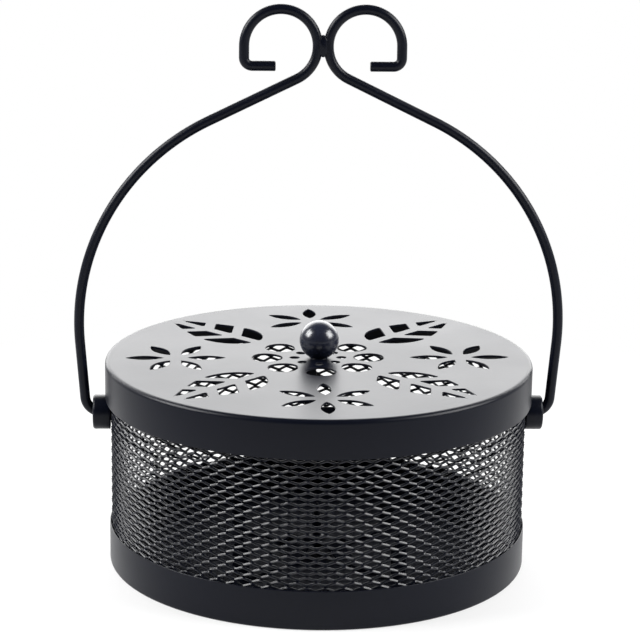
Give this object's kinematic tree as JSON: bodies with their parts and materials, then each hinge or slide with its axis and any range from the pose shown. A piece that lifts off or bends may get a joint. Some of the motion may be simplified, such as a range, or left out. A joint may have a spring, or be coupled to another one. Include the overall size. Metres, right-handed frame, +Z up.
{
  "type": "mosquito coil holder",
  "caption": "Round metal box with an expanded-mesh wall, a lift-off lid with floral cut-outs and a ball knob, and a hinged scroll-top wire handle, for burning a mosquito coil.",
  "frame": {"origin": "on the table, under the middle of the round box", "axes": "+Z up, X along the line of the handle's pivots, the seam of the mesh at the back, towards +Y"},
  "size_m": [0.1942, 0.17, 0.2234],
  "materials": {
    "black_coat": "satin black powder coat",
    "mesh_coat": "satin black powder coat on expanded metal",
    "knob_coat": "glossy black enamel",
    "plated_steel": "zinc plated"
  },
  "bodies": {
    "holder": {"base_tray": "black_coat", "mesh_wall": "mesh_coat", "mesh_seam_strip": "black_coat", "top_collar": "black_coat", "left_boss": "black_coat", "right_boss": "black_coat", "left_backing_washer": "black_coat", "right_backing_washer": "black_coat", "coil_rest_lower": "black_coat", "coil_rest_upper": "black_coat", "centre_spike": "black_coat"},
    "lid": {"lid_cap": "black_coat", "knob_ball": "knob_coat", "knob_washer": "plated_steel", "knob_screw": "plated_steel"},
    "handle": {"left_handle_wire": "black_coat", "right_handle_wire": "black_coat", "front_weld": "black_coat", "back_weld": "black_coat", "left_push_nut": "plated_steel", "right_push_nut": "plated_steel"}
  },
  "joints": [
    {"name": "lid_lift", "type": "slide", "parent": "holder", "child": "lid", "axis": [0, 0, 1], "range_m": [0, 0.04]},
    {"name": "handle_swing", "type": "hinge", "parent": "holder", "child": "handle", "pos_m": [0, 0, 0.0601], "axis": [1, 0, 0], "range_deg": [-105, 105]}
  ]
}
